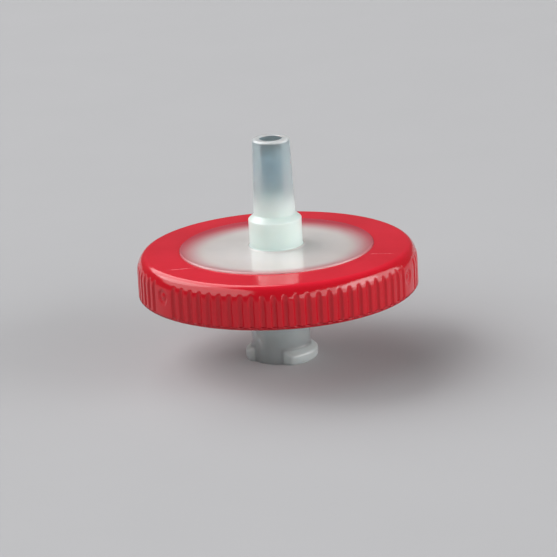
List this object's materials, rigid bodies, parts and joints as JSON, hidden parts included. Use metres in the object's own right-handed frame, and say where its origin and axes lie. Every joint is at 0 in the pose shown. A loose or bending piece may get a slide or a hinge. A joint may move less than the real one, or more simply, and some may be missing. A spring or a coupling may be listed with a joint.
{
  "type": "syringe filter",
  "caption": "Disc filter for a syringe: translucent housing with a female lock inlet below, a male slip outlet above, a sealed membrane inside and a grooved red grip ring.",
  "frame": {"origin": "centre of the inlet's end face, which is the lowest point of the filter and the face it stands on", "axes": "+Z along the flow, from the inlet's mouth up to the outlet's tip; the locking lugs point at 150 and 330 degrees from +X towards +Y"},
  "size_m": [0.03, 0.03, 0.0243],
  "materials": {
    "housing_plastic": "translucent natural polypropylene, smooth moulded gloss",
    "membrane": "matt white porous polymer sheet",
    "ring_plastic": "smooth glossy red polypropylene"
  },
  "bodies": {
    "root": {"outlet_housing": "housing_plastic", "inlet_housing": "housing_plastic", "membrane": "membrane", "grip_ring": "ring_plastic"}
  },
  "joints": []
}
